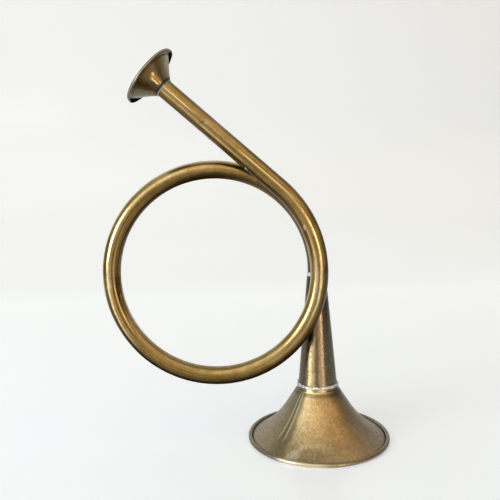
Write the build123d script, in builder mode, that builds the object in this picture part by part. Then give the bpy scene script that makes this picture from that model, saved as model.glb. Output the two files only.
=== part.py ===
from build123d import *
from math import asin, atan2, cos, degrees, hypot, radians, sin, sqrt, tan
import os

# A bugle that stands on its bell: funnel mouthpiece, straight leadpipe, one full loop of tube,
# conical stem and flared bell, all soft-soldered together. All sizes are in millimetres.
# The origin is the centre of the bell's mouth, on the plane that the bell rests on. +Z is up,
# +X points from the loop towards the stem, and the leadpipe lies on the -Y side of the loop.

# ---- driving dimensions ----

# Tube
tube_diameter = 15.9
tube_wall = 0.6
loop_radius = 92.0            # of the centreline
loop_rise = 6.0               # centre of the loop above the stem's top
layer_gap = 4.1               # between the front and back layers, at the stem
front_bend_easing = 8.0       # the bend into the leadpipe is this much wider than the loop
front_bend_angle = 48.3       # degrees
leadpipe_lean_back = 5.73     # degrees that the leadpipe swings back over the loop
leadpipe_length = 131.0       # straight run, from the bend to the mouthpiece

# Stem
cone_length = 99.5
stem_top_diameter = 17.4
stem_foot_diameter = 35.4
stem_wall = 1.0
spigot_length = 5.0           # plain stretch at the foot, inside the bell's collar
spigot_rise = 0.2             # how far the spigot stands out of the collar
socket_depth = 12.0           # how far the tube goes down into the stem

# Bell
bell_diameter = 131.0
bell_wall = 1.0
collar_height = 52.3          # top edge of the collar above the resting plane
collar_length = 4.0
collar_crease_radius = 2.5    # inside of the bend between collar and flare
flare_neck_angle = 57.2       # slope of the flare below the collar, degrees from level
flare_rim_angle = 27.0        # slope of the flare where it meets the rolled edge
bead_diameter = 3.8           # rolled edge
bead_curl_end = 166.0         # degrees round the edge where the curl stops, short of the flare
bead_land_depth = 0.1         # how deep the rolled edge is worn flat where it rests

# Mouthpiece
cup_mouth_diameter = 56.0     # over the lip
cup_depth = 17.4              # from the tube's end to the front of the lip
cup_neck_diameter = 17.5
cup_wall = 0.9
cup_side_radius = 130.0       # hollow curve of the funnel's side
lip_curl_radius = 1.8         # outside of the turned-back lip
lip_flange_length = 1.3       # straight stretch of the lip behind the curl
shank_length = 10.0           # inside the tube
shank_wall = 0.8
throat_thickness = 0.8

# Solder
solder_fullness = 0.2         # bulge of a bead, as a share of the corner that it fills
neck_solder_leg = 1.2         # along the tube, at the mouthpiece
seam_solder_height = 2.0      # up the stem, at the bell's collar
stem_solder_height = 3.6      # up the tube, at the stem's top
crossing_tack_distance = 36.0   # along the leadpipe, from the front bend
crossing_tack_diameter = 4.4
loop_tack_angle = 24.0        # degrees round the loop, from the stem
loop_tack_diameter = 5.4
loop_tack_inset = 3.5         # from the tube's centreline towards the middle of the loop

# Fits
seat_clearance = 0.05         # radial, in every soldered socket
wire_clearance = 0.3          # radial, round the wire in the rolled edge
solder_clearance = 0.02       # between a solder bead and the curved wall it lies on

# ---- sizes that follow ----

tube_radius = tube_diameter / 2
tube_bore_radius = tube_radius - tube_wall
stem_top_radius = stem_top_diameter / 2
stem_foot_radius = stem_foot_diameter / 2
spigot_top_height = collar_height + spigot_rise
stem_foot_height = spigot_top_height - spigot_length
stem_top_height = spigot_top_height + cone_length
loop_height = stem_top_height + loop_rise
loop_pitch = tube_diameter + layer_gap
front_bend_radius = loop_radius + front_bend_easing
bead_radius = bead_diameter / 2
bead_height = bead_radius - bead_land_depth
bead_ring_radius = bell_diameter / 2 - bead_radius
up = Vector(0, 0, 1)


def stem_radius(height):
    """Outer radius of the stem's cone at a height."""
    taper = (stem_foot_radius - stem_top_radius) / cone_length
    return stem_foot_radius - taper * (height - spigot_top_height)


# Centreline of the tube. The back arc lies in the plane Y = 0. The lower arc swings forward by
# the pitch of the loop, and the front bend swings back again, into the leadpipe.
tube_start = Vector(0, 0, stem_top_height - socket_depth)
loop_start = Vector(0, 0, loop_height)
loop_centre = loop_start - Vector(loop_radius, 0, 0)
loop_left = loop_centre - Vector(loop_radius, 0, 0)
lower_across = Vector(1, 0, 0).rotate(Axis.Z, -degrees(asin(loop_pitch / (2 * loop_radius))))
loop_front = loop_left + lower_across * (2 * loop_radius)
bend_across = Vector(-1, 0, 0).rotate(Axis.Z, -leadpipe_lean_back)


def front_bend_point(angle):
    """Point of the centreline on the front bend, in degrees from the bend's start."""
    turn = radians(angle)
    return loop_front + (bend_across * (1 - cos(turn)) + up * sin(turn)) * front_bend_radius


bend_turn = radians(front_bend_angle)
leadpipe_start = front_bend_point(front_bend_angle)
leadpipe_direction = bend_across * sin(bend_turn) + up * cos(bend_turn)
leadpipe_end = leadpipe_start + leadpipe_direction * leadpipe_length

with BuildLine() as coil_path:
    Line(tube_start, loop_start)
    ThreePointArc(loop_start, loop_centre + up * loop_radius, loop_left)
    ThreePointArc(loop_left, loop_left + (lower_across - up) * loop_radius, loop_front)
    ThreePointArc(loop_front, front_bend_point(front_bend_angle / 2), leadpipe_start)
    Line(leadpipe_start, leadpipe_end)

# Section plane through the mouthpiece: X is the radius, Y runs along the leadpipe to the mouth.
cup_side = leadpipe_direction.cross(Vector(0, 1, 0)).normalized()
cup_plane = Plane(leadpipe_end, x_dir=cup_side, z_dir=cup_side.cross(leadpipe_direction))
cup_axis = Axis(leadpipe_end, leadpipe_direction)

os.makedirs("parts", exist_ok=True)

# ---- tube: leadpipe and loop, bent from one length ----

with BuildPart() as coil_tube:
    with BuildSketch(Plane(tube_start, z_dir=up)) as tube_section:
        Circle(tube_radius)
        Circle(tube_bore_radius, mode=Mode.SUBTRACT)
    sweep(sections=tube_section.sketch, path=coil_path.line)
coil_tube.part.label = "coil_tube"
export_step(coil_tube.part, "parts/coil_tube.step")

# What the solder tacks are cut away with, so that they hug the tube
with BuildSketch(Plane(tube_start, z_dir=up)) as tube_envelope:
    Circle(tube_radius + solder_clearance)

# ---- stem: cone with a socket for the tube at its top and a plain spigot at its foot ----

socket_radius = tube_radius + seat_clearance
socket_foot = tube_start.Z

with BuildPart() as bell_stem:
    with BuildSketch(Plane.XZ):
        with BuildLine():
            Polyline(
                (stem_foot_radius, stem_foot_height),
                (stem_foot_radius, spigot_top_height),
                (stem_top_radius, stem_top_height),
                (socket_radius, stem_top_height),
                (socket_radius, socket_foot),
                (stem_radius(socket_foot) - stem_wall, socket_foot),
                (stem_foot_radius - stem_wall, spigot_top_height),
                (stem_foot_radius - stem_wall, stem_foot_height),
                close=True,
            )
        make_face()
    revolve(axis=Axis.Z)
bell_stem.part.label = "bell_stem"
export_step(bell_stem.part, "parts/bell_stem.step")

# ---- bell: collar, flare and rolled edge in one spun sheet ----

# The sheet leaves the collar as a straight cone, then bends in one arc that runs into the underside
# of the rolled edge. These sizes are those of its mouth side.
collar_radius = stem_foot_radius + seat_clearance
collar_foot_height = collar_height - collar_length
neck_turn = radians(flare_neck_angle)
rim_turn = radians(flare_rim_angle)
rim_radius = bead_ring_radius - bead_radius * sin(rim_turn)
rim_height = bead_height - bead_radius * cos(rim_turn)
cone_drop = tan(neck_turn) * (rim_radius - collar_radius) - (collar_foot_height - rim_height)
arc_run = sin(neck_turn) - sin(rim_turn)
arc_drop = cos(rim_turn) - cos(neck_turn)
flare_radius = cone_drop / (tan(neck_turn) * arc_run - arc_drop)
cone_end_radius = rim_radius - flare_radius * arc_run
cone_end_height = rim_height + flare_radius * arc_drop


def sheet_side(depth):
    """Draws one side of the sheet, at a depth from its mouth side. Returns its first and last points."""
    collar_x = collar_radius + depth
    collar_foot = (collar_x, collar_foot_height + depth * (1 - sin(neck_turn)) / cos(neck_turn))
    cone_end = (cone_end_radius + depth * sin(neck_turn), cone_end_height + depth * cos(neck_turn))
    rim = (rim_radius + depth * sin(rim_turn), rim_height + depth * cos(rim_turn))
    FilletPolyline((collar_x, collar_height), collar_foot, cone_end, radius=collar_crease_radius - depth)
    TangentArc(cone_end, rim, tangent=(cos(neck_turn), -sin(neck_turn)))
    curl_start = -90 - flare_rim_angle
    curl_sweep = bead_curl_end - curl_start
    curl = CenterArc((bead_ring_radius, bead_height), bead_radius - depth, curl_start, curl_sweep)
    return (collar_x, collar_height), curl @ 1


with BuildPart() as bell_flare:
    with BuildSketch(Plane.XZ):
        with BuildLine():
            mouth_start, mouth_end = sheet_side(0)
            back_start, back_end = sheet_side(bell_wall)
            Line(mouth_start, back_start)
            Line(mouth_end, back_end)
        make_face()
        with Locations((bead_ring_radius, 0)):
            Rectangle(
                bead_diameter, bead_land_depth, align=(Align.CENTER, Align.MAX), mode=Mode.SUBTRACT
            )
    revolve(axis=Axis.Z)
bell_flare.part.label = "bell_flare"
export_step(bell_flare.part, "parts/bell_flare.step")

with BuildPart() as bell_rim_wire:
    with BuildSketch(Plane.XZ):
        with Locations((bead_ring_radius, bead_height)):
            Circle(bead_radius - bell_wall - wire_clearance)
    revolve(axis=Axis.Z)
bell_rim_wire.part.label = "bell_rim_wire"
export_step(bell_rim_wire.part, "parts/bell_rim_wire.step")

# ---- mouthpiece: spun funnel with a turned-back lip, and a shank inside the tube ----

# The line followed here is the funnel's back. Its side is one hollow arc that runs into the
# inside of the lip's curl, so the arc's centre is found from both.
cup_neck_radius = cup_neck_diameter / 2
lip_inner_radius = lip_curl_radius - cup_wall
lip_x = cup_mouth_diameter / 2 - lip_curl_radius
lip_y = cup_depth - lip_curl_radius
reach = cup_side_radius - lip_inner_radius
span_x = lip_x - cup_neck_radius
span = hypot(span_x, lip_y)
along = (cup_side_radius**2 - reach**2 + span**2) / (2 * span)
aside = sqrt(cup_side_radius**2 - along**2)
side_centre_x = cup_neck_radius + (span_x * along + lip_y * aside) / span
side_centre_y = (lip_y * along - span_x * aside) / span
lip_angle = degrees(atan2(lip_y - side_centre_y, lip_x - side_centre_x))
neck_angle = degrees(atan2(-side_centre_y, cup_neck_radius - side_centre_x))
shank_radius = tube_bore_radius - seat_clearance
throat_radius = shank_radius - shank_wall

with BuildPart() as mouthpiece_funnel:
    with BuildSketch(cup_plane):
        with BuildLine():
            CenterArc((side_centre_x, side_centre_y), cup_side_radius, neck_angle, lip_angle - neck_angle)
            CenterArc((lip_x, lip_y), lip_inner_radius, lip_angle, -lip_angle)
            Line(
                (lip_x + lip_inner_radius, lip_y),
                (lip_x + lip_inner_radius, lip_y - lip_flange_length),
            )
            offset(amount=cup_wall, side=Side.LEFT)
        make_face()
        with Locations((throat_radius, 0)):
            Rectangle(cup_neck_radius - throat_radius, throat_thickness, align=Align.MIN)
        with Locations((throat_radius, -shank_length)):
            Rectangle(shank_wall, shank_length, align=Align.MIN)
    revolve(axis=cup_axis)
mouthpiece_funnel.part.label = "mouthpiece_funnel"
export_step(mouthpiece_funnel.part, "parts/mouthpiece_funnel.step")

# ---- solder ----


def bead_section(toe, corner, end, fullness):
    """Draws the section of a bead in a corner, from one toe to the other end, bulging outwards."""
    middle_x = (toe[0] + end[0]) / 2
    middle_y = (toe[1] + end[1]) / 2
    crown = (middle_x + (middle_x - corner[0]) * fullness, middle_y + (middle_y - corner[1]) * fullness)
    Polyline(toe, corner, end)
    ThreePointArc(end, crown, toe)


# Bead in the corner between the tube and the funnel's neck
neck_corner = (tube_radius + solder_clearance, 0)
tube_toe = (neck_corner[0], -neck_solder_leg)
with BuildPart() as mouthpiece_solder:
    with BuildSketch(cup_plane):
        with BuildLine():
            bead_section(tube_toe, neck_corner, (cup_neck_radius, 0), solder_fullness)
        make_face()
    revolve(axis=cup_axis)
mouthpiece_solder.part.label = "mouthpiece_solder"
export_step(mouthpiece_solder.part, "parts/mouthpiece_solder.step")

# Ring on the collar's edge, against the stem
seam_top = collar_height + seam_solder_height
seam_corner = (stem_foot_radius + solder_clearance, collar_height)
seam_toe = (collar_radius + bell_wall, collar_height)
stem_toe = (stem_radius(seam_top) + solder_clearance, seam_top)
with BuildPart() as bell_seam_solder:
    with BuildSketch(Plane.XZ):
        with BuildLine():
            bead_section(stem_toe, seam_corner, seam_toe, solder_fullness)
        make_face()
    revolve(axis=Axis.Z)
bell_seam_solder.part.label = "bell_seam_solder"
export_step(bell_seam_solder.part, "parts/bell_seam_solder.step")

# Thin sleeve of solder drawn up the tube where it enters the stem, hollow instead of full
top_corner = (tube_radius + solder_clearance, stem_top_height)
pipe_toe = (top_corner[0], stem_top_height + stem_solder_height)
with BuildPart() as stem_top_solder:
    with BuildSketch(Plane.XZ):
        with BuildLine():
            bead_section(pipe_toe, top_corner, (stem_top_radius, stem_top_height), -solder_fullness)
        make_face()
    revolve(axis=Axis.Z)
stem_top_solder.part.label = "stem_top_solder"
export_step(stem_top_solder.part, "parts/stem_top_solder.step")

# Lump between the two layers of the loop, on the loop's inner side, above the stem
tack_turn = radians(loop_tack_angle)
tack_out = Vector(cos(tack_turn), 0, sin(tack_turn))
with BuildPart() as loop_solder_tack:
    with BuildSketch(Plane(loop_centre + tack_out * (loop_radius - loop_tack_inset), z_dir=(0, -1, 0))):
        Circle(loop_tack_diameter / 2)
    extrude(amount=loop_pitch)
    sweep(sections=tube_envelope.sketch, path=coil_path.line, mode=Mode.SUBTRACT)
loop_solder_tack.part.label = "loop_solder_tack"
export_step(loop_solder_tack.part, "parts/loop_solder_tack.step")

# Tack in the notch where the leadpipe leaves the loop
crossing = leadpipe_start + leadpipe_direction * crossing_tack_distance
crossing_out = Vector(crossing.X - loop_centre.X, 0, crossing.Z - loop_centre.Z).normalized()
crossing_foot = loop_centre + crossing_out * loop_radius
crossing_reach = crossing - crossing_foot
with BuildPart() as crossing_solder_tack:
    with BuildSketch(Plane(crossing_foot, z_dir=crossing_reach)):
        Circle(crossing_tack_diameter / 2)
    extrude(amount=crossing_reach.length)
    sweep(sections=tube_envelope.sketch, path=coil_path.line, mode=Mode.SUBTRACT)
crossing_solder_tack.part.label = "crossing_solder_tack"
export_step(crossing_solder_tack.part, "parts/crossing_solder_tack.step")
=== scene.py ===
from math import cos, pi, radians, sin, sqrt
from types import SimpleNamespace

import bmesh
import bpy
from mathutils import Matrix, Vector, noise


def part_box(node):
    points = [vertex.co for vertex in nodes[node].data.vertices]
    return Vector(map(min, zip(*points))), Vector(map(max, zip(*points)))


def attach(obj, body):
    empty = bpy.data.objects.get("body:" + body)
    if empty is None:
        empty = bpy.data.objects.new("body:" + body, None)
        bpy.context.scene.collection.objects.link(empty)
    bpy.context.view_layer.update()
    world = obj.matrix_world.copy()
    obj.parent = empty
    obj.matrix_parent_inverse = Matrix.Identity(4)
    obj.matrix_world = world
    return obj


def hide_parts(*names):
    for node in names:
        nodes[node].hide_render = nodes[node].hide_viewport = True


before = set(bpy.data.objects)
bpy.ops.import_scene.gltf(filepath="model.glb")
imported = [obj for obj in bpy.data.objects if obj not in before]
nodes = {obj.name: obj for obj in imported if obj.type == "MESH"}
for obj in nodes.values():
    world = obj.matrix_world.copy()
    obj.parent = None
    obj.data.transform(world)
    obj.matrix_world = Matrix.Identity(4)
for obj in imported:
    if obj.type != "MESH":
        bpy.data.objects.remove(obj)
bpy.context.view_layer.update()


def mm(value):
    """Millimetres as metres."""
    return value / 1000


# ---------------------------------------------------------------- the horn's own measures

# the horn stands on its bell, the bell's axis on z; the leadpipe runs up from the loop's front bend
up = Vector((0, 0, 1))
tube_radius = mm(7.95)
loop_radius = mm(92)
loop_centre = Vector((-loop_radius, 0, mm(158)))
leadpipe_start = Vector((mm(-34.4), mm(-16.66), mm(232.66)))
leadpipe_end = Vector((mm(-131.72), mm(-6.89), mm(319.81)))
leadpipe_line = (leadpipe_end - leadpipe_start).normalized()
leadpipe_side = Vector((0, 1, 0)).cross(leadpipe_line).normalized()
leadpipe_front = leadpipe_side.cross(leadpipe_line).normalized()


def on_pipe(along, side, front):
    """A place given in millimetres along, across and in front of the leadpipe's centre line."""
    return leadpipe_start + leadpipe_line * mm(along) + leadpipe_side * mm(side) + leadpipe_front * mm(front)


# ---------------------------------------------------------------- camera

camera_data = bpy.data.cameras.new("camera")
camera_data.lens = 41.587
camera_data.sensor_width = 36
camera_data.clip_start = 0.01
camera = bpy.data.objects.new("camera", camera_data)
camera.location = (-0.09799, -0.51708, 0.23055)
yaw, pitch, roll = -0.07267, -0.10220, -0.02299
forward = Vector((-sin(yaw) * cos(pitch), cos(yaw) * cos(pitch), sin(pitch)))
level_right = Vector((cos(yaw), sin(yaw), 0))
level_up = level_right.cross(forward)
right = level_right * cos(roll) + level_up * sin(roll)
above = level_up * cos(roll) - level_right * sin(roll)
camera.rotation_euler = Matrix((right, above, -forward)).transposed().to_euler()
bpy.context.scene.collection.objects.link(camera)
bpy.context.scene.camera = camera
bpy.context.scene.view_settings.view_transform = "Standard"

# ---------------------------------------------------------------- lights

light_aim = Vector((-0.05, 0, 0.16))
light_distance = 1.3


def soft_box(name, azimuth, elevation, width, height, radiance, colour, lean=0.0):
    """A rectangular lamp aimed at the horn. Azimuth is measured from the front, to the right."""
    out = Vector((sin(radians(azimuth)) * cos(radians(elevation)),
                  -cos(radians(azimuth)) * cos(radians(elevation)), sin(radians(elevation))))
    data = bpy.data.lights.new(name, "AREA")
    data.shape = "RECTANGLE"
    data.size = width
    data.size_y = height
    data.energy = radiance * pi * width * height
    data.color = colour
    lamp = bpy.data.objects.new(name, data)
    lamp.location = light_aim + out * light_distance
    turned = out.to_track_quat("Z", "Y").to_matrix() @ Matrix.Rotation(radians(lean), 3, "Z")
    lamp.rotation_euler = turned.to_euler()
    bpy.context.scene.collection.objects.link(lamp)


soft_box("window_left", -61, 12, 0.52, 0.62, 6.5, (0.93, 1.0, 1.04), lean=20)
soft_box("window_right", 26, 4, 0.34, 0.44, 3.6, (1.0, 0.90, 0.76))

# ---------------------------------------------------------------- node helpers


def add(tree, kind, inputs=None, **settings):
    """Adds a node, sets its own settings, then sets or links its inputs by name or number."""
    made = tree.nodes.new(kind)
    for key, value in settings.items():
        setattr(made, key, value)
    for key, value in (inputs or {}).items():
        socket = made.inputs[key]
        if isinstance(value, bpy.types.NodeSocket):
            tree.links.new(value, socket)
        else:
            socket.default_value = value
    return made


def maths(tree, operation, *values, clamp=False):
    """A sum of one, two or three values, each a number or another node's output."""
    made = add(tree, "ShaderNodeMath", dict(enumerate(values)), operation=operation, use_clamp=clamp)
    return made.outputs[0]


def share(tree, mask, amount):
    """A mask times an amount or times another mask."""
    return maths(tree, "MULTIPLY", mask, amount)


def split(tree, vector):
    """The X, Y and Z of a vector."""
    return add(tree, "ShaderNodeSeparateXYZ", {0: vector}).outputs


def length(tree, x=0.0, y=0.0, z=0.0):
    """How far the point x, y, z lies from zero."""
    point = add(tree, "ShaderNodeCombineXYZ", {0: x, 1: y, 2: z})
    return add(tree, "ShaderNodeVectorMath", {0: point.outputs[0]}, operation="LENGTH").outputs["Value"]


def dotted(tree, place, direction, origin):
    """How far a place lies along a direction, measured from an origin."""
    along = add(tree, "ShaderNodeVectorMath", {0: place, 1: direction}, operation="DOT_PRODUCT")
    return maths(tree, "SUBTRACT", along.outputs["Value"], direction.dot(origin))


def from_front(tree, at):
    """The turn about the upright axis, zero at the front and positive to the right."""
    return maths(tree, "ARCTAN2", at["X"], share(tree, at["Y"], -1.0))


def cloud(tree, place, scale, detail, roughness=0.5):
    """A smooth noise from 0 to 1."""
    return add(tree, "ShaderNodeTexNoise", {"Vector": place, "Scale": scale, "Detail": detail,
                                            "Roughness": roughness}).outputs["Fac"]


def waver(tree, place, scale, detail):
    """A smooth noise round zero, which pushes a pattern about."""
    return maths(tree, "SUBTRACT", cloud(tree, place, scale, detail), 0.5)


def ramp(tree, value, low, high, to_low=0.0, to_high=1.0, smooth=True):
    """A value taken from the range low to high into the range to_low to to_high."""
    made = add(tree, "ShaderNodeMapRange",
               {"Value": value, "From Min": low, "From Max": high, "To Min": to_low, "To Max": to_high},
               interpolation_type="SMOOTHSTEP" if smooth else "LINEAR")
    return made.outputs[0]


# the sockets that a Mix node uses for colours
MIX_AMOUNT, MIX_FIRST, MIX_SECOND, MIX_RESULT = 0, 6, 7, 2


def blend_colour(tree, amount, first, second, kind="MIX"):
    """A colour that goes from the first to the second with the amount."""
    made = add(tree, "ShaderNodeMix", {MIX_AMOUNT: amount, MIX_FIRST: first, MIX_SECOND: second},
               data_type="RGBA", blend_type=kind)
    return made.outputs[MIX_RESULT]


def stained(tree, shade, mask, amount, colour):
    """A shade covered with a colour where the mask is."""
    return blend_colour(tree, share(tree, mask, amount), shade, (*colour, 1))


def tinted(tree, shade, mask, amount, tint):
    """A shade multiplied by a tint where the mask is."""
    return blend_colour(tree, share(tree, mask, amount), shade, (*tint, 1), "MULTIPLY")


def colour_band(tree, value, stops):
    """A colour that runs through the stops, each a position from 0 to 1 and a colour."""
    made = add(tree, "ShaderNodeValToRGB", {"Fac": value})
    band = made.color_ramp
    while len(band.elements) < len(stops):
        band.elements.new(0.5)
    for element, (position, colour) in zip(band.elements, stops):
        element.position = position
        element.color = (*colour, 1)
    return made.outputs["Color"]


def turn_colours(tree, angle, stops):
    """A colour that changes with a turn, from a list of (degrees, colour) from -180 to 180."""
    turn = ramp(tree, angle, -pi, pi, smooth=False)
    return colour_band(tree, turn, [((degrees + 180) / 360, colour) for degrees, colour in stops])


def material(name):
    """An empty material and its node tree."""
    made = bpy.data.materials.new(name)
    made.use_nodes = True
    made.node_tree.nodes.clear()
    return made, made.node_tree


def surface(name):
    """A material, its node tree, and the place and the normal of each point of the piece."""
    made, tree = material(name)
    read = add(tree, "ShaderNodeTexCoord")
    return made, tree, read.outputs["Object"], read.outputs["Normal"]


# ---------------------------------------------------------------- world

world = bpy.data.worlds.new("studio")
bpy.context.scene.world = world
world.use_nodes = True
sky = world.node_tree
sky.nodes.clear()
looking = split(sky, add(sky, "ShaderNodeTexCoord").outputs["Generated"])
azimuth = from_front(sky, looking)
ceiling = turn_colours(sky, azimuth, (
    (-180, (0.45, 0.48, 0.50)), (-115, (0.40, 0.45, 0.40)), (-90, (0.82, 0.95, 0.95)),
    (-55, (1.30, 1.22, 1.00)), (-10, (1.15, 1.05, 0.80)), (5, (0.95, 0.80, 0.54)),
    (12, (0.66, 0.54, 0.33)), (20, (0.66, 0.53, 0.33)), (50, (0.80, 0.62, 0.38)),
    (80, (0.42, 0.31, 0.18)), (90, (0.26, 0.18, 0.10)), (102, (0.50, 0.47, 0.47)),
    (180, (0.45, 0.48, 0.50))))
horizon = turn_colours(sky, azimuth, (
    (-180, (0.40, 0.42, 0.45)), (-120, (0.34, 0.38, 0.36)), (-95, (0.42, 0.42, 0.32)),
    (-62, (0.95, 1.02, 0.95)), (-32, (0.50, 0.44, 0.32)), (-12, (0.62, 0.52, 0.35)),
    (8, (0.72, 0.58, 0.38)), (19, (0.40, 0.30, 0.18)), (27, (0.13, 0.09, 0.05)),
    (40, (0.12, 0.08, 0.05)), (100, (0.07, 0.05, 0.03)), (118, (0.34, 0.32, 0.32)),
    (180, (0.40, 0.42, 0.45))))
walls = blend_colour(sky, ramp(sky, looking["Z"], 0.12, 0.50), horizon, ceiling)
around = blend_colour(sky, ramp(sky, looking["Z"], 0.80, 0.97), walls, (0.50, 0.47, 0.38, 1))

# the plain pale backdrop, seen straight and mirrored from behind the horn
rays = add(sky, "ShaderNodeLightPath").outputs
mirrored = maths(sky, "MAXIMUM", rays["Is Glossy Ray"], rays["Is Transmission Ray"])
behind_horn = share(sky, mirrored, ramp(sky, looking["Y"], 0.72, 0.92))
backdrop = maths(sky, "MAXIMUM", rays["Is Camera Ray"], behind_horn)
seen = blend_colour(sky, backdrop, around, (0.88, 0.88, 0.88, 1))
glow = add(sky, "ShaderNodeBackground", {"Color": seen, "Strength": 1.0})
add(sky, "ShaderNodeOutputWorld", {"Surface": glow.outputs[0]})

# ---------------------------------------------------------------- floor

floor_width = 2.4
floor_front = -1.1
floor_back = 0.75
sweep_radius = 0.45
wall_height = 1.6


def only(kind, geometry):
    """The vertices or the edges among what an operator gives back."""
    return [item for item in geometry if isinstance(item, kind)]


floor_mesh = bmesh.new()
front_ends = [floor_mesh.verts.new((side * floor_width / 2, floor_front, 0)) for side in (-1, 1)]
front_edge = floor_mesh.edges.new(front_ends)
flat = bmesh.ops.extrude_edge_only(floor_mesh, edges=[front_edge])["geom"]
back_ends = only(bmesh.types.BMVert, flat)
bmesh.ops.translate(floor_mesh, verts=back_ends, vec=(0, floor_back - floor_front, 0))
back_edge = [edge for edge in only(bmesh.types.BMEdge, flat)
             if edge.verts[0] in back_ends and edge.verts[1] in back_ends]
swept = bmesh.ops.spin(floor_mesh, geom=back_ends + back_edge, cent=(0, floor_back, sweep_radius),
                       axis=(1, 0, 0), angle=pi / 2, steps=16, use_merge=False)["geom_last"]
wall = bmesh.ops.extrude_edge_only(floor_mesh, edges=only(bmesh.types.BMEdge, swept))["geom"]
bmesh.ops.translate(floor_mesh, verts=only(bmesh.types.BMVert, wall), vec=(0, 0, wall_height))
for face in floor_mesh.faces:
    face.smooth = True
floor_data = bpy.data.meshes.new("floor")
floor_mesh.to_mesh(floor_data)
floor_mesh.free()
floor = bpy.data.objects.new("floor", floor_data)
bpy.context.scene.collection.objects.link(floor)

floor_paint, tree = material("floor_pale")
rays = add(tree, "ShaderNodeLightPath").outputs
shown = maths(tree, "MAXIMUM", rays["Is Camera Ray"], rays["Is Glossy Ray"])
shown = maths(tree, "MAXIMUM", shown, rays["Is Transmission Ray"])
paint = add(tree, "ShaderNodeBsdfPrincipled",
            {"Base Color": (0.75, 0.80, 0.91, 1), "Roughness": 0.28, "Specular IOR Level": 0.5,
             "Emission Color": (0.97, 0.99, 1.0, 1), "Emission Strength": share(tree, shown, 0.30)})
add(tree, "ShaderNodeOutputMaterial", {"Surface": paint.outputs[0]})
floor_data.materials.append(floor_paint)

# ---------------------------------------------------------------- shared effects

VALUE, VECTOR = "NodeSocketFloat", "NodeSocketVector"


def new_group(name, inputs, outputs):
    """An empty shader node group, with its named inputs and outputs ready to use."""
    group = bpy.data.node_groups.new(name, "ShaderNodeTree")
    for label, kind, value in inputs:
        socket = group.interface.new_socket(label, in_out="INPUT", socket_type=kind)
        if value is not None:
            socket.default_value = value
    for label in outputs:
        group.interface.new_socket(label, in_out="OUTPUT", socket_type=VALUE)
    return group, group.nodes.new("NodeGroupInput").outputs, group.nodes.new("NodeGroupOutput").inputs


def use(tree, group, **inputs):
    """Places a shared effect in a material, with its own values."""
    return add(tree, "ShaderNodeGroup", inputs, node_tree=group).outputs


# Patches: soft-edged areas of tarnish, with a share of the surface that they cover
patches, given, out = new_group("tarnish_patches", (
    ("Place", VECTOR, None), ("Scale", VALUE, 60.0), ("Cover", VALUE, 0.5),
    ("Softness", VALUE, 0.1)), ("Mask",))
drift = cloud(patches, given["Place"], given["Scale"], 5.0, 0.6)
edge = maths(patches, "SUBTRACT", 1.0, given["Cover"])
low = maths(patches, "SUBTRACT", edge, given["Softness"])
high = maths(patches, "ADD", edge, given["Softness"])
patches.links.new(ramp(patches, drift, low, high), out["Mask"])

# Specks: small dark or bright grains
specks, given, out = new_group("fine_specks", (
    ("Place", VECTOR, None), ("Scale", VALUE, 900.0), ("Cover", VALUE, 0.35)), ("Mask",))
grains = cloud(specks, given["Place"], given["Scale"], 2.0, 0.7)
grain_edge = 0.12
low = maths(specks, "SUBTRACT", 1.0, given["Cover"])
high = maths(specks, "ADD", low, grain_edge)
specks.links.new(ramp(specks, grains, low, high, smooth=False), out["Mask"])

# Soft band: a stripe of a value, with soft edges
soft_band, given, out = new_group("soft_band", (
    ("Value", VALUE, None), ("Centre", VALUE, 0.0), ("Half", VALUE, mm(1)),
    ("Softness", VALUE, mm(1))), ("Mask",))
away = maths(soft_band, "ABSOLUTE", maths(soft_band, "SUBTRACT", given["Value"], given["Centre"]))
reach = maths(soft_band, "ADD", given["Half"], given["Softness"])
soft_band.links.new(ramp(soft_band, away, given["Half"], reach, 1.0, 0.0), out["Mask"])

# Round spot: a blot round a point, its edge pushed about by a noise
round_spot, given, out = new_group("round_spot", (
    ("Place", VECTOR, None), ("Centre", VECTOR, (0, 0, 0)), ("Stretch", VECTOR, (1, 1, 1)),
    ("Radius", VALUE, mm(5)), ("Softness", VALUE, mm(2)), ("Ragged", VALUE, mm(2))), ("Mask", "Distance"))
gap = add(round_spot, "ShaderNodeVectorMath", {0: given["Place"], 1: given["Centre"]}, operation="SUBTRACT")
gap = add(round_spot, "ShaderNodeVectorMath", {0: gap.outputs[0], 1: given["Stretch"]}, operation="DIVIDE")
gap = add(round_spot, "ShaderNodeVectorMath", {0: gap.outputs[0]}, operation="LENGTH").outputs["Value"]
push = share(round_spot, waver(round_spot, given["Place"], 350.0, 3.0), given["Ragged"])
far = maths(round_spot, "ADD", gap, push)
reach = maths(round_spot, "ADD", given["Radius"], given["Softness"])
round_spot.links.new(ramp(round_spot, far, given["Radius"], reach, 1.0, 0.0), out["Mask"])
round_spot.links.new(far, out["Distance"])

# Draw lines: long fine lines, from a distance across the tube and a slow change along it
draw_lines, given, out = new_group("draw_lines", (
    ("Across", VALUE, None), ("Along", VALUE, None), ("Pitch", VALUE, mm(1))), ("Bright", "Dark"))
fine = add(draw_lines, "ShaderNodeCombineXYZ",
           {0: maths(draw_lines, "DIVIDE", given["Across"], given["Pitch"]), 1: given["Along"]})
lines = cloud(draw_lines, fine.outputs[0], 1.0, 2.0)
draw_lines.links.new(ramp(draw_lines, lines, 0.56, 0.72), out["Bright"])
draw_lines.links.new(ramp(draw_lines, lines, 0.44, 0.30), out["Dark"])


def patch_mask(tree, place, scale, cover, softness=0.14):
    return use(tree, patches, Place=place, Scale=scale, Cover=cover, Softness=softness)["Mask"]


def speck_mask(tree, place, scale, cover):
    return use(tree, specks, Place=place, Scale=scale, Cover=cover)["Mask"]


def spot_mask(tree, place, centre, radius, softness, ragged, stretch=(1, 1, 1)):
    return use(tree, round_spot, Place=place, Centre=centre, Stretch=stretch, Radius=radius,
               Softness=softness, Ragged=ragged)["Mask"]


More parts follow.
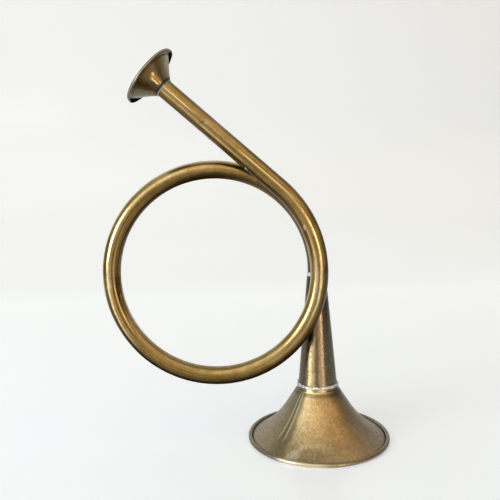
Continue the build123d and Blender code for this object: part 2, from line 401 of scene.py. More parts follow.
def stripe(tree, value, centre, half, softness):
    return use(tree, soft_band, Value=value, Centre=centre, Half=half, Softness=softness)["Mask"]


def turned_stripe(tree, angle, centre, half, softness):
    """A stripe of an angle, given in degrees."""
    return stripe(tree, angle, radians(centre), radians(half), radians(softness))


def mm_stripe(tree, value, centre, half, softness):
    """A stripe of a distance, given in millimetres."""
    return stripe(tree, value, mm(centre), mm(half), mm(softness))


# ---------------------------------------------------------------- finish of the coil


def brass_body(tree, shade, rough, shine, height, reach, coat_roughness=0.12, metal=1.0):
    """What every brass ends in: metal under a thin old lacquer, with a fine relief."""
    bump = add(tree, "ShaderNodeBump", {"Height": height, "Strength": 0.5, "Distance": reach})
    body = add(tree, "ShaderNodeBsdfPrincipled",
               {"Base Color": shade, "Metallic": metal, "Roughness": rough, "Normal": bump.outputs[0],
                "Specular IOR Level": 0.0, "Specular Tint": (0.62, 0.64, 0.68, 1),
                "Coat Weight": shine, "Coat Roughness": coat_roughness})
    add(tree, "ShaderNodeOutputMaterial", {"Surface": body.outputs[0]})


def brass_colour(bright):
    """Brass from black at 0, tarnish and painted shade, through clean at 1 to paler above it, for painted
    highlights.
    """
    clean = min(bright, 1)
    highlight_share = max(bright - 1, 0)
    red = 0.46 * bright
    green = red * (0.46 + 0.26 * sqrt(clean) + 0.16 * highlight_share)
    blue = red * (0.33 * clean + 0.27 * highlight_share)
    return min(red, 1), min(green, 1), min(blue, 1)


def section_tones(tree, around, stops):
    """Brass that changes round the section of the tube, from a list of (degrees, how bright)."""
    turn = ramp(tree, around, -pi / 2, pi / 2, smooth=False)
    tones = [((degrees + 90) / 180, brass_colour(bright)) for degrees, bright in stops]
    return colour_band(tree, turn, tones)


def run_of_tones(tree, around, travelled, stations, step):
    """The tones of the stations, one after another along the tube, their places counted in steps."""
    tone = section_tones(tree, around, stations[0][1])
    for (start, _), (end, stops) in zip(stations, stations[1:]):
        reached = ramp(tree, travelled, start * step, end * step)
        tone = blend_colour(tree, reached, tone, section_tones(tree, around, stops))
    return tone


# Light and dark round the tube: places along it (degrees round the loop, then millimetres up the
# leadpipe), each with (degrees round the section, how bright); on the loop a positive turn faces outwards.
# Part of it is tarnish and wear. Part stands for a room mirrored in the brass, and so it stays where it is
# under other light and from other sides.
loop_tarnish_and_reflections = (
    # front bend: its upper end, then its middle
    (12, ((-70, 0.25), (-35, 0.3), (-20, 0.7), (-10, 1.0), (0, 2.2), (15, 1.1), (30, 0.85), (60, 0.6))),
    (29, ((-70, 0.5), (-45, 0.2), (-25, 0.7), (-12, 0.7), (0, 1.6), (15, 1.0), (25, 1.2), (45, 0.65),
          (65, 0.2))),
    # right side, going down
    (46, ((-70, 1.1), (-52, 0.2), (-38, 0.3), (-30, 1.25), (-20, 1.0), (-10, 0.5), (2, 1.5), (20, 1.2),
          (30, 0.6), (50, 0.4), (65, 0.15))),
    (68, ((-70, 1.3), (-45, 0.9), (-30, 1.5), (-20, 1.4), (-10, 0.4), (0, 2.2), (10, 0.6), (25, 0.25),
          (50, 0.2), (70, 0.6))),
    (105, ((-60, 0.9), (-30, 0.8), (-20, 1.0), (0, 0.75), (10, 0.4), (20, 0.2), (40, 0.06), (55, 0.03),
           (70, 0.3))),
    # bottom, black underneath: painted shade and a painted reflection of a dark surface below
    (145, ((-65, 0.8), (-45, 1.4), (-30, 1.0), (-10, 0.6), (5, 0.3), (30, 0.1), (50, 0.02))),
    (190, ((-65, 0.9), (-45, 1.5), (-20, 0.95), (0, 0.65), (10, 0.35), (20, 0.4), (30, 0.15), (50, 0.02))),
    # left side, going up
    (220, ((-68, 1.2), (-42, 1.7), (-30, 0.85), (-10, 0.35), (0, 1.0), (10, 0.75), (20, 1.6), (30, 0.22),
           (50, 0.13), (70, 1.0))),
    (240, ((-70, 0.4), (-30, 0.25), (-18, 0.65), (-10, 0.15), (0, 1.0), (20, 1.8), (30, 0.35), (50, 0.55),
           (62, 1.5))),
    (275, ((-70, 0.2), (-50, 0.15), (-30, 0.4), (-20, 0.4), (-10, 0.2), (0, 0.8), (12, 1.8), (20, 1.9),
           (32, 0.5), (50, 0.65), (60, 2.2))),
    # top, and on behind the leadpipe
    (325, ((-70, 0.03), (-45, 0.08), (-30, 0.12), (-20, 0.25), (-10, 0.55), (0, 1.1), (20, 1.5), (32, 0.8),
           (50, 1.6))),
    (388, ((-80, 0.6), (-60, 0.5), (-40, 0.3), (-15, 0.5), (0, 0.9), (60, 1.2))))
leadpipe_tarnish_and_reflections = (
    (40, ((-60, 0.2), (-48, 0.07), (-30, 0.4), (-12, 0.55), (3, 1.4), (12, 1.0), (38, 1.3), (50, 0.65),
          (60, 0.4))),
    (75, ((-65, 0.4), (-46, 0.15), (-30, 0.6), (-18, 0.7), (0, 1.3), (15, 1.3), (42, 1.4), (62, 0.5))),
    (112, ((-60, 0.2), (-48, 0.35), (-36, 0.25), (-24, 0.8), (-10, 1.5), (4, 0.9), (12, 1.3), (38, 0.95),
           (60, 0.4))))


def tube_places(tree, spot, normal):
    """Where a point of the tube lies: round the loop, round its section, and along the leadpipe."""
    at = split(tree, spot)
    faces = split(tree, normal)
    over_x = maths(tree, "SUBTRACT", at["X"], loop_centre.x)
    over_z = maths(tree, "SUBTRACT", at["Z"], loop_centre.z)
    out_from_loop = length(tree, x=over_x, z=over_z)
    round_loop = maths(tree, "ARCTAN2", over_z, over_x)
    along = dotted(tree, spot, leadpipe_line, leadpipe_start)
    side = dotted(tree, spot, leadpipe_side, leadpipe_start)
    front = dotted(tree, spot, leadpipe_front, leadpipe_start)

    # the leadpipe's share: what lies within a hair of the tube's radius from its centre line, and further
    # out down in the front bend, where the tube leaves that line; the layer behind the pipe is left out
    skin = tube_radius + mm(0.13)
    reach = maths(tree, "ADD", ramp(tree, along, mm(14), mm(24), mm(6), 0.0), skin)
    beyond = maths(tree, "SUBTRACT", length(tree, x=side, y=front), reach)
    near_pipe = share(tree, ramp(tree, beyond, mm(0.1), 0.0), ramp(tree, front, mm(-8.18), mm(-8.05)))
    on_leadpipe = share(tree, ramp(tree, along, mm(-30), mm(10)), near_pipe)

    # the turn round the section, from the way that the surface faces
    outward = maths(tree, "ADD", share(tree, faces["X"], over_x), share(tree, faces["Z"], over_z))
    outward = maths(tree, "DIVIDE", outward, out_from_loop)
    section_turn = maths(tree, "ARCTAN2", outward, share(tree, faces["Y"], -1.0))

    # the way travelled from the front bend, in turns of the loop; where two layers pass each other, the
    # front one is still the bend and the back one has been all the way round
    bend_start = 60 / 360
    travelled = maths(tree, "FRACT", maths(tree, "MULTIPLY_ADD", round_loop, -0.5 / pi, bend_start))
    front_layer = maths(tree, "LESS_THAN", at["Y"], mm(-9))
    back_layer = maths(tree, "SUBTRACT", 1.0, front_layer)
    past_stem = share(tree, maths(tree, "LESS_THAN", travelled, 90 / 360), back_layer)
    past_bend = share(tree, maths(tree, "GREATER_THAN", travelled, 300 / 360), front_layer)
    travelled = maths(tree, "SUBTRACT", maths(tree, "ADD", travelled, past_stem), past_bend, clamp=True)

    return SimpleNamespace(
        over_z=over_z, out_from_loop=out_from_loop, round_loop=round_loop, section_turn=section_turn,
        travelled=travelled, front_layer=front_layer, along=along, side=side, front=front,
        on_leadpipe=on_leadpipe, off_leadpipe=maths(tree, "SUBTRACT", 1.0, on_leadpipe),
        pipe_front=ramp(tree, front, 0.0, mm(2)), loop_front=ramp(tree, faces["Y"], -0.1, -0.4))


def highlight_lines(tree, at):
    """Masks of the painted highlight lines: on the leadpipe, the thin one below that, and round the loop."""
    upper = share(tree, mm_stripe(tree, at.side, 0, 0.25, 0.5), ramp(tree, at.along, mm(92), mm(108)))
    middle = share(tree, mm_stripe(tree, at.side, 0.9, 0.25, 0.5), ramp(tree, at.along, mm(54), mm(34)))
    middle = share(tree, middle, at.on_leadpipe)
    pipe_highlight = share(tree, maths(tree, "MAXIMUM", upper, middle), at.pipe_front)
    strength = maths(tree, "ADD", share(tree, mm_stripe(tree, at.along, 62, 16, 14), 0.45), 0.1)
    lower = share(tree, mm_stripe(tree, at.side, -3.9, 0.1, 0.35), strength)
    lower = share(tree, share(tree, lower, at.on_leadpipe), at.pipe_front)
    far_arc = stripe(tree, maths(tree, "ABSOLUTE", at.round_loop), pi, radians(25), radians(25))
    loop_highlight = share(tree, mm_stripe(tree, at.out_from_loop, 90.2, 0.1, 0.4), far_arc)
    loop_highlight = share(tree, loop_highlight, share(tree, at.loop_front, at.off_leadpipe))
    return pipe_highlight, lower, loop_highlight


def dent_mask(tree, at):
    """A short dent that lies slantwise across the leadpipe, at about 42 degrees to it."""
    slant_across, slant_along = 0.744, 0.668
    dent_along = maths(tree, "SUBTRACT", at.along, mm(86.2))
    dent_side = maths(tree, "SUBTRACT", at.side, mm(-1.2))
    across = maths(tree, "ADD", share(tree, dent_along, slant_across), share(tree, dent_side, slant_along))
    run = maths(tree, "SUBTRACT", share(tree, dent_along, slant_along), share(tree, dent_side, slant_across))
    dent = share(tree, mm_stripe(tree, across, 0, 0.35, 0.6), mm_stripe(tree, run, 0, 2.4, 1.4))
    return share(tree, dent, at.pipe_front)


def tube_finish():
    """The coil: polished golden brown, darker below, partly tarnish and partly painted shade, with painted
    highlight lines and a dent along the leadpipe.
    """
    made, tree, spot, normal = surface("tube_brass")
    at = tube_places(tree, spot, normal)

    # light and dark that follow the tube
    sway = waver(tree, spot, 150.0, 3.0)
    around = maths(tree, "ADD", at.section_turn, share(tree, sway, 0.16))
    pipe_turn = maths(tree, "ADD", maths(tree, "ARCTAN2", at.side, at.front), share(tree, sway, 0.10))
    loop_tone = run_of_tones(tree, around, at.travelled, loop_tarnish_and_reflections, 1 / 360)
    pipe_tone = run_of_tones(tree, pipe_turn, at.along, leadpipe_tarnish_and_reflections, mm(1))
    tone = blend_colour(tree, at.on_leadpipe, loop_tone, pipe_tone)

    # black, tarnish and painted shade alike, is not metallic, nor quite is a matt patch on the outer right
    # of the front bend
    redness = add(tree, "ShaderNodeSeparateColor", {0: tone}).outputs["Red"]
    metal = ramp(tree, redness, 0.012, 0.12)
    matt = share(tree, stripe(tree, at.travelled, 46 / 360, 8 / 360, 8 / 360),
                 turned_stripe(tree, around, 35, 13, 9))
    matt = share(tree, share(tree, matt, at.off_leadpipe), at.front_layer)

    # clouds, flecks and fine drawn lines
    blotch = patch_mask(tree, spot, 110.0, 0.5)
    cloudy = patch_mask(tree, spot, 52.0, 0.5)
    shade = tinted(tree, tone, blotch, 1.0, (0.84, 0.76, 0.66))
    shade = tinted(tree, shade, cloudy, 1.0, (0.97, 0.95, 0.75))
    shade = tinted(tree, shade, speck_mask(tree, spot, 430.0, 0.32), 0.75, (0.50, 0.40, 0.30))
    shade = tinted(tree, shade, speck_mask(tree, spot, 750.0, 0.42), 0.7, (0.35, 0.28, 0.20))
    ring_lines = use(tree, draw_lines, Across=at.out_from_loop, Along=share(tree, at.round_loop, 1.3),
                     Pitch=mm(0.5))
    pipe_lines = use(tree, draw_lines, Across=at.side, Along=share(tree, at.along, 12.0), Pitch=mm(0.5))
    bright, dim = (maths(tree, "ADD", share(tree, ring_lines[kind], at.off_leadpipe),
                         share(tree, pipe_lines[kind], at.on_leadpipe)) for kind in ("Bright", "Dark"))
    shade = tinted(tree, shade, bright, 0.7, (1.6, 1.6, 1.7))
    shade = tinted(tree, shade, dim, 0.6, (0.45, 0.38, 0.30))

    # painted highlight lines, and the dent with a pale spot beside it
    pipe_highlight, lower_highlight, loop_highlight = highlight_lines(tree, at)
    shade = stained(tree, shade, pipe_highlight, 1.0, (0.96, 0.78, 0.48))
    shade = stained(tree, shade, lower_highlight, 1.0, (0.80, 0.48, 0.20))
    shade = stained(tree, shade, loop_highlight, 0.28, (0.85, 0.62, 0.38))
    dent = dent_mask(tree, at)
    # painted shade in the dent: its line darkened in colour
    shade = stained(tree, shade, dent, 0.55, (0.12, 0.08, 0.03))
    pale_spot = spot_mask(tree, spot, on_pipe(83.2, 1.8, 7.6), mm(1.0), mm(2.0), mm(5))
    shade = stained(tree, shade, pale_spot, 0.5, (0.60, 0.56, 0.42))

    # solder stains: green where the leadpipe is tacked, tan beside the tack between the layers, and black
    # beside it, painted shade between the layers
    green = spot_mask(tree, spot, on_pipe(33, -7, 3.5), mm(2.2), mm(2.6), mm(3))
    shade = stained(tree, shade, green, 0.85, (0.035, 0.065, 0.045))
    tan_place = (mm(-14.6), mm(-25.1), mm(198))
    tan_spot = spot_mask(tree, spot, tan_place, mm(0.8), mm(2.4), mm(3), (0.6, 1, 1.3))
    shade = stained(tree, shade, tan_spot, 0.55, (0.50, 0.34, 0.17))
    painted_shadow = spot_mask(tree, spot, (mm(-14.4), mm(-24.8), mm(193)), mm(1.2), mm(1.6), mm(1.5))
    shade = stained(tree, shade, painted_shadow, 0.8, (0.05, 0.035, 0.012))

    # gloss, metal and relief
    shine = share(tree, share(tree, metal, maths(tree, "SUBTRACT", 1.0, green)), 0.4)
    low_part = ramp(tree, at.over_z, mm(-45), mm(-75))
    rough = maths(tree, "ADD", share(tree, blotch, 0.07), 0.16)
    rough = maths(tree, "ADD", rough, share(tree, low_part, 0.10))
    rough = maths(tree, "ADD", rough, share(tree, green, 0.3), clamp=True)
    metal = maths(tree, "SUBTRACT", metal, share(tree, pipe_highlight, 0.6), clamp=True)
    metal = maths(tree, "SUBTRACT", metal, share(tree, matt, 0.8), clamp=True)
    height = maths(tree, "SUBTRACT", share(tree, cloud(tree, spot, 600.0, 3.0), 0.25), dent)
    height = maths(tree, "SUBTRACT", height, share(tree, dim, 0.08))
    brass_body(tree, shade, rough, shine, height, mm(0.12), metal=metal)
    return made


# ---------------------------------------------------------------- finish of stem and bell


def stem_finish():
    """The stem: dark brown and heavily speckled, with two light streaks down its front, painted reflections
    of lamps.
    """
    made, tree, spot, _ = surface("stem_brass")
    angle = from_front(tree, split(tree, spot))
    angle = maths(tree, "ADD", angle, share(tree, waver(tree, spot, 130.0, 3.0), 0.25))
    # round the stem: dark brown; the two light streaks are painted reflections of lamps, and the darker band
    # left of them painted shade of the loop
    shade = turn_colours(tree, angle, (
        (-180, (0.13, 0.10, 0.06)), (-75, (0.13, 0.105, 0.07)), (-52, (0.10, 0.075, 0.045)),
        (-41, (0.30, 0.24, 0.12)), (-36, (0.64, 0.51, 0.27)), (-23, (0.62, 0.47, 0.24)),
        (-16, (0.19, 0.13, 0.07)), (-9, (0.24, 0.16, 0.09)), (-5, (0.47, 0.32, 0.19)),
        (8, (0.43, 0.30, 0.17)), (16, (0.15, 0.105, 0.065)), (30, (0.11, 0.094, 0.056)),
        (60, (0.12, 0.110, 0.066)), (180, (0.13, 0.10, 0.06))))
    speck = speck_mask(tree, spot, 850.0, 0.47)
    shade = stained(tree, shade, patch_mask(tree, spot, 160.0, 0.45, 0.12), 0.30, (0.20, 0.145, 0.08))
    shade = stained(tree, shade, speck, 0.68, (0.06, 0.045, 0.025))
    shade = stained(tree, shade, speck_mask(tree, spot, 1500.0, 0.40), 0.42, (0.48, 0.39, 0.25))
    # a painted shadow of the loop: a dark wedge on the stem just under it
    shadow_place = (mm(-7.6), mm(-11.3), mm(101))
    painted_shadow = spot_mask(tree, spot, shadow_place, mm(1.8), mm(2.0), mm(0.8), (1, 1, 4))
    shade = stained(tree, shade, painted_shadow, 0.85, (0.025, 0.018, 0.010))
    rough = maths(tree, "MULTIPLY_ADD", speck, 0.15, 0.22)
    brass_body(tree, shade, rough, 0.25, speck, mm(0.03), 0.2)
    return made


def bell_finish():
    """The bell: matt khaki gold in front, greyer at the sides, partly tarnish and partly painted reflection,
    with dust, painted reflected lines and a stain.
    """
    made, tree, spot, _ = surface("bell_brass")
    at = split(tree, spot)
    height = at["Z"]
    out_from_axis = length(tree, x=at["X"], y=at["Y"])
    turned = from_front(tree, at)
    pushed = maths(tree, "ADD", turned, share(tree, waver(tree, spot, 120.0, 4.0), 0.22))
    # round the bell: lighter in front and greyer at the sides, partly tarnish and partly a painted
    # reflection of the room
    shade = turn_colours(tree, pushed, (
        (-180, (0.38, 0.33, 0.24)), (-95, (0.42, 0.36, 0.27)), (-62, (0.40, 0.32, 0.20)),
        (-50, (0.32, 0.24, 0.13)), (-44, (0.36, 0.27, 0.15)), (-39, (0.72, 0.53, 0.28)),
        (-5, (0.76, 0.53, 0.27)), (20, (0.76, 0.51, 0.25)), (36, (0.56, 0.38, 0.19)),
        (55, (0.42, 0.34, 0.24)), (180, (0.38, 0.33, 0.24))))

    # mottling, pits and dust
    mottle = patch_mask(tree, spot, 360.0, 0.50, 0.12)
    speck = speck_mask(tree, spot, 800.0, 0.46)
    low_dust = maths(tree, "ADD", ramp(tree, height, mm(26), mm(6)), 0.45)
    dust = share(tree, speck_mask(tree, spot, 560.0, 0.37), low_dust)
    shade = stained(tree, shade, patch_mask(tree, spot, 75.0, 0.45), 0.44, (0.32, 0.25, 0.135))
    shade = stained(tree, shade, mottle, 0.32, (0.22, 0.175, 0.10))
    shade = stained(tree, shade, speck, 0.45, (0.14, 0.105, 0.06))
    shade = stained(tree, shade, speck_mask(tree, spot, 1300.0, 0.42), 0.22, (0.80, 0.66, 0.42))
    shade = stained(tree, shade, dust, 0.36, (0.80, 0.74, 0.60))

    # brighter collar, its light and dark streaks painted reflections, with a painted highlight on the crease
    # and a painted shadow line below it
    collar = ramp(tree, height, mm(47.4), mm(48.2))
    collar_tones_and_reflections = turn_colours(tree, pushed, (
        (-180, (0.16, 0.13, 0.08)), (-60, (0.16, 0.13, 0.08)), (-44, (0.30, 0.24, 0.12)),
        (-38, (0.85, 0.68, 0.36)), (-26, (0.80, 0.62, 0.32)), (-18, (0.30, 0.21, 0.11)),
        (-10, (0.55, 0.38, 0.20)), (0, (0.85, 0.56, 0.30)), (9, (0.70, 0.48, 0.26)),
        (18, (0.28, 0.20, 0.11)), (34, (0.17, 0.14, 0.09)), (180, (0.16, 0.13, 0.08))))
    shade = blend_colour(tree, share(tree, collar, 0.85), shade, collar_tones_and_reflections)
    shade = stained(tree, shade, mm_stripe(tree, height, 45.6, 0.9, 1.6), 0.55, (0.13, 0.10, 0.05))
    crease_highlight = share(tree, mm_stripe(tree, height, 47.5, 0.35, 0.5), turned_stripe(tree, turned, -8, 34, 14))
    shade = stained(tree, shade, crease_highlight, 0.7, (0.92, 0.76, 0.46))
    # darker on the right of the flare, just below the collar
    right_shoulder_dark = share(tree, ramp(tree, height, mm(36), mm(45)), turned_stripe(tree, turned, 38, 14, 22))
    shade = stained(tree, shade, right_shoulder_dark, 0.6, (0.12, 0.095, 0.06))

    # two pale lines down the left with a dark one between them: a painted reflection of a window frame
    on_flare = share(tree, ramp(tree, height, mm(8), mm(14)), ramp(tree, height, mm(47.3), mm(46.5)))
    dark_line_between = share(tree, turned_stripe(tree, turned, -54.3, 1.0, 1.6), on_flare)
    shade = stained(tree, shade, dark_line_between, 0.35, (0.16, 0.13, 0.07))
    reflected_lines = maths(tree, "MAXIMUM", turned_stripe(tree, turned, -58, 0.7, 1.2),
                       turned_stripe(tree, turned, -50.5, 0.7, 1.2))
    shade = stained(tree, shade, share(tree, reflected_lines, on_flare), 0.55, (0.85, 0.74, 0.50))

    # stain near the rim: a dusty round patch with a pale tide line and some green at its left
    stain = use(tree, round_spot, Place=spot, Centre=(mm(-18), mm(-58), mm(1.5)), Stretch=(1.45, 1, 1),
                Radius=mm(15), Softness=mm(3), Ragged=mm(9))
    crumbs = speck_mask(tree, spot, 700.0, 0.55)
    dulled = share(tree, stain["Mask"], maths(tree, "ADD", share(tree, mottle, 0.35), 0.2))
    tide = mm_stripe(tree, stain["Distance"], 16.2, 0.6, 2.6)
    tide = share(tree, tide, maths(tree, "ADD", share(tree, crumbs, 0.7), 0.2))
    tide = share(tree, tide, ramp(tree, at["X"], mm(6), mm(-18), 0.3, 1.0))
    green = spot_mask(tree, spot, (mm(-30), mm(-48), mm(5)), mm(2.5), mm(4.5), mm(8))
    green = share(tree, green, maths(tree, "ADD", share(tree, crumbs, 0.6), 0.3))
    shade = stained(tree, shade, dulled, 1.0, (0.30, 0.27, 0.18))
    shade = stained(tree, shade, tide, 0.6, (0.66, 0.63, 0.50))
    shade = stained(tree, shade, green, 0.8, (0.48, 0.53, 0.44))

    # rim: the browner bead with a painted glint on it, and painted shade in the groove inside it
    bead = ramp(tree, out_from_axis, mm(61.3), mm(62.0))
    glint = share(tree, bead, turned_stripe(tree, turned, -22, 10, 16))
    shade = stained(tree, shade, bead, 0.75, (0.24, 0.20, 0.145))
    shade = stained(tree, shade, glint, 0.6, (1.0, 0.90, 0.68))
    shade = stained(tree, shade, mm_stripe(tree, out_from_axis, 61.2, 0.25, 0.5), 0.7, (0.04, 0.032, 0.02))

    # gloss, metal and relief
    chalky = maths(tree, "MAXIMUM", green, tide)
    rough = maths(tree, "ADD", share(tree, mottle, 0.10), 0.36)
    rough = maths(tree, "SUBTRACT", rough, share(tree, collar, 0.20))
    rough = maths(tree, "ADD", rough, share(tree, chalky, 0.3), clamp=True)
    rough = maths(tree, "SUBTRACT", rough, share(tree, bead, 0.12))
    metal = maths(tree, "SUBTRACT", 1.0, share(tree, chalky, 0.7), clamp=True)
    relief = maths(tree, "SUBTRACT", share(tree, mottle, 0.5), speck)
    brass_body(tree, shade, rough, 0.12, relief, mm(0.05), 0.3, metal)
    return made


# ---------------------------------------------------------------- finish of the mouthpiece


def cup_finish():
    """The mouthpiece: dark brown brass with painted reflections round it and painted highlights in one
    place, black inside the lip.
    """
    made, tree, spot, normal = surface("cup_brass")
    depth = dotted(tree, spot, leadpipe_line, leadpipe_end)
    side = dotted(tree, spot, leadpipe_side, leadpipe_end)
    front = dotted(tree, spot, leadpipe_front, leadpipe_end)
    angle = maths(tree, "ARCTAN2", side, front)
    turned = maths(tree, "ADD", angle, share(tree, waver(tree, spot, 130.0, 3.0), 0.35))
    # round the cone: dark brown with painted reflections, a near-black band and a pale grey sheen further
    # round
    shade = turn_colours(tree, turned, (
        (-180, (0.16, 0.11, 0.05)), (-75, (0.20, 0.16, 0.10)), (-52, (0.13, 0.10, 0.035)),
        (-42, (0.055, 0.035, 0.012)), (-24, (0.060, 0.036, 0.010)), (-14, (0.13, 0.075, 0.022)),
        (8, (0.18, 0.105, 0.030)), (20, (0.24, 0.15, 0.055)), (34, (0.30, 0.23, 0.125)),
        (48, (0.43, 0.38, 0.27)), (70, (0.52, 0.48, 0.37)), (180, (0.16, 0.11, 0.05))))
    blotch = patch_mask(tree, spot, 150.0, 0.5)
    speck = speck_mask(tree, spot, 1100.0, 0.40)
    shade = stained(tree, shade, blotch, 0.30, (0.13, 0.08, 0.03))
    shade = stained(tree, shade, speck, 0.35, (0.08, 0.05, 0.02))

    # an orange painted reflection on the front of the cone, with three painted highlight spots and a dark
    # parting
    jitter = waver(tree, spot, 420.0, 3.0)
    edge_turn = maths(tree, "ADD", angle, share(tree, jitter, 0.22))
    edge_depth = maths(tree, "ADD", depth, share(tree, jitter, mm(4)))

    def highlight_spot(degrees, half_turn, turn_softness, deep, half_depth, depth_softness):
        return share(tree, turned_stripe(tree, edge_turn, degrees, half_turn, turn_softness),
                     mm_stripe(tree, edge_depth, deep, half_depth, depth_softness))

    orange = highlight_spot(0, 5, 8, 6.0, 3.0, 3.0)
    outer = highlight_spot(4, 1.5, 4, 9.4, 0.3, 1.3)
    middle = highlight_spot(-7, 1.2, 4, 5.9, 1.8, 1.8)
    inner = highlight_spot(4, 1, 4, 2.9, 0.2, 1.2)
    parting = share(tree, turned_stripe(tree, edge_turn, -1.5, 0.4, 1.2), orange)
    highlight_share = maths(tree, "MAXIMUM", maths(tree, "MAXIMUM", outer, middle), share(tree, inner, 0.5))
    shade = stained(tree, shade, orange, 0.85, (0.60, 0.28, 0.055))
    shade = stained(tree, shade, parting, 0.6, (0.16, 0.07, 0.015))
    shade = stained(tree, shade, highlight_share, 1.0, (1.0, 0.72, 0.34))

    # lip: a painted shadow line inside its outer edge, under the curl, and its own paler edge
    shade = stained(tree, shade, mm_stripe(tree, depth, 14.6, 0.25, 0.5), 0.7, (0.05, 0.035, 0.015))
    lip = ramp(tree, depth, mm(15.2), mm(15.9))
    shade = stained(tree, shade, lip, 0.8, (0.50, 0.46, 0.37))

    # black oxide inside the cup, painted shadow behind the lip, and a dark line at the neck
    facing = add(tree, "ShaderNodeVectorMath", {0: normal, 1: leadpipe_line},
                 operation="DOT_PRODUCT").outputs["Value"]
    inside = ramp(tree, facing, 0.25, 0.5)
    shade = stained(tree, shade, inside, 0.9, (0.02, 0.016, 0.012))
    behind = share(tree, ramp(tree, front, mm(-1), mm(-3.5)), ramp(tree, depth, mm(12.6), mm(13.4)))
    behind = share(tree, behind, ramp(tree, length(tree, x=side, y=front), mm(28.1), mm(27.8)))
    shade = stained(tree, shade, behind, 0.97, (0.006, 0.005, 0.004))
    shade = stained(tree, shade, mm_stripe(tree, depth, 0.9, 0.4, 0.8), 0.8, (0.03, 0.03, 0.025))

    # gloss, metal and relief
    rough = maths(tree, "ADD", share(tree, blotch, 0.08), 0.20)
    rough = maths(tree, "ADD", rough, share(tree, inside, 0.3))
    dulled = maths(tree, "MAXIMUM", ramp(tree, angle, radians(12), radians(34)), lip)
    oxide_and_shadow = maths(tree, "MAXIMUM", behind, share(tree, inside, 0.8))
    oxide_and_shadow = maths(tree, "MAXIMUM", oxide_and_shadow, share(tree, dulled, 0.6))
    bare = maths(tree, "SUBTRACT", 1.0, oxide_and_shadow, clamp=True)
    brass_body(tree, shade, rough, share(tree, bare, 0.4), speck, mm(0.02), 0.12, bare)
    return made


# ---------------------------------------------------------------- finish of the solder


def solder_finish(name, pale, hollow):
    """Soft solder: pale grey and pitted, darker and greener in the hollows."""
    made, tree, spot, _ = surface(name)
    hollows = patch_mask(tree, spot, 260.0, 0.40, 0.08)
    pit = speck_mask(tree, spot, 800.0, 0.44)
    shade = stained(tree, (*pale, 1), hollows, 0.6, hollow)
    shade = stained(tree, shade, pit, 0.7, (0.07, 0.08, 0.075))
    rough = maths(tree, "ADD", share(tree, hollows, 0.2), 0.30)
    metal = maths(tree, "SUBTRACT", 0.75, share(tree, hollows, 0.4))
    bump = add(tree, "ShaderNodeBump", {"Height": maths(tree, "SUBTRACT", hollows, pit), "Strength": 0.7,
                                        "Distance": mm(0.15)})
    body = add(tree, "ShaderNodeBsdfPrincipled", {"Base Color": shade, "Metallic": metal, "Roughness": rough,
                                                  "Normal": bump.outputs[0]})
    add(tree, "ShaderNodeOutputMaterial", {"Surface": body.outputs[0]})
    return made


solder_grey = solder_finish("solder_grey", (0.90, 0.91, 0.90), (0.30, 0.34, 0.33))
solder_green = solder_finish("solder_green", (0.46, 0.55, 0.54), (0.05, 0.08, 0.075))
for name, finish in (("coil_tube", tube_finish()), ("bell_stem", stem_finish()),
                     ("bell_flare", bell_finish()), ("mouthpiece_funnel", cup_finish()),
                     ("loop_solder_tack", solder_grey), ("bell_rim_wire", solder_grey)):
    nodes[name].data.materials.clear()
    nodes[name].data.materials.append(finish)

# ---------------------------------------------------------------- solder


def show(name, mesh, finish, stands_for):
    """Makes a finished bmesh a piece that rides with the horn and stands for its CAD solder."""
    bmesh.ops.recalc_face_normals(mesh, faces=mesh.faces)
    for face in mesh.faces:
        face.smooth = True
    data = bpy.data.meshes.new(name)
    mesh.to_mesh(data)
    mesh.free()
    data.materials.append(finish)
    piece = bpy.data.objects.new(name, data)
    bpy.context.scene.collection.objects.link(piece)
    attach(piece, "root")
    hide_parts(stands_for)


def swell(mesh, core, lumps, size):
    """Pushes every point to or from the nearest point of the core, by large and by finer lumps."""
    finer = 2.3
    for vert in mesh.verts:
        middle = core(vert.co)
        push = noise.noise(vert.co / size) + 0.5 * noise.noise(vert.co * finer / size)
        vert.co = middle + (vert.co - middle) * (1 + lumps * push)


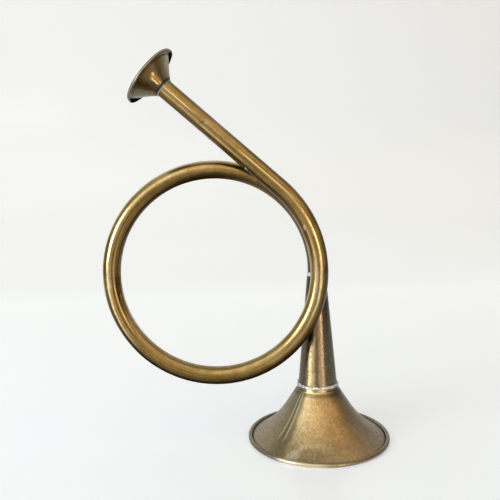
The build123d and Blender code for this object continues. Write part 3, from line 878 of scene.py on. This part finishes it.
def solder_ring(name, stands_for, finish, centre, axis, ring_radius, width, height, lumps, size):
    """A lumpy ring of solder round an axis."""
    mesh = bmesh.new()
    bmesh.ops.create_circle(mesh, segments=10, radius=1.0)
    bmesh.ops.scale(mesh, verts=mesh.verts, vec=(width / 2, height / 2, 1))
    bmesh.ops.rotate(mesh, verts=mesh.verts, matrix=Matrix.Rotation(pi / 2, 3, "X"))
    bmesh.ops.translate(mesh, verts=mesh.verts, vec=(ring_radius, 0, 0))
    bmesh.ops.spin(mesh, geom=list(mesh.verts) + list(mesh.edges), cent=(0, 0, 0), axis=(0, 0, 1),
                   angle=2 * pi, steps=120, use_merge=True)
    bmesh.ops.remove_doubles(mesh, verts=mesh.verts, dist=mm(0.01))
    swell(mesh, lambda point: Vector((point.x, point.y, 0)).normalized() * ring_radius, lumps, size)
    bmesh.ops.rotate(mesh, verts=mesh.verts, matrix=up.rotation_difference(axis).to_matrix())
    bmesh.ops.translate(mesh, verts=mesh.verts, vec=centre)
    show(name, mesh, finish, stands_for)


def solder_lump(name, stands_for, finish, centre, axes, sizes, lumps, size):
    """A lump of solder with its own three axes and half sizes."""
    mesh = bmesh.new()
    bmesh.ops.create_icosphere(mesh, subdivisions=4, radius=1.0)
    bmesh.ops.scale(mesh, verts=mesh.verts, vec=sizes)
    swell(mesh, lambda point: Vector((0, 0, 0)), lumps, size)
    bmesh.ops.rotate(mesh, verts=mesh.verts, matrix=Matrix(axes).transposed())
    bmesh.ops.translate(mesh, verts=mesh.verts, vec=centre)
    show(name, mesh, finish, stands_for)


seam_low, seam_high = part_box("bell_seam_solder")
top_low, top_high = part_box("stem_top_solder")
solder_ring("bell_seam_lumps", "bell_seam_solder", solder_grey,
            Vector((0, 0, seam_low.z - mm(0.6))), up, seam_high.x - mm(0.55),
            width=mm(1.8), height=mm(2.6), lumps=0.8, size=mm(1.8))
solder_ring("stem_top_lumps", "stem_top_solder", solder_grey,
            Vector((0, 0, (top_low.z + top_high.z) / 2)), up, top_high.x - mm(0.45),
            width=mm(1.1), height=mm(3.6), lumps=0.6, size=mm(2.4))
solder_ring("mouthpiece_lumps", "mouthpiece_solder", solder_green,
            leadpipe_end - leadpipe_line * mm(0.5), leadpipe_line, tube_radius + mm(0.35),
            width=mm(1.0), height=mm(0.9), lumps=0.6, size=mm(2.0))
solder_lump("crossing_lump", "crossing_solder_tack", solder_green,
            on_pipe(32.4, -6.9, 3.0), (leadpipe_line, leadpipe_front, leadpipe_side),
            sizes=(mm(1.6), mm(2.6), mm(0.6)), lumps=0.6, size=mm(1.6))
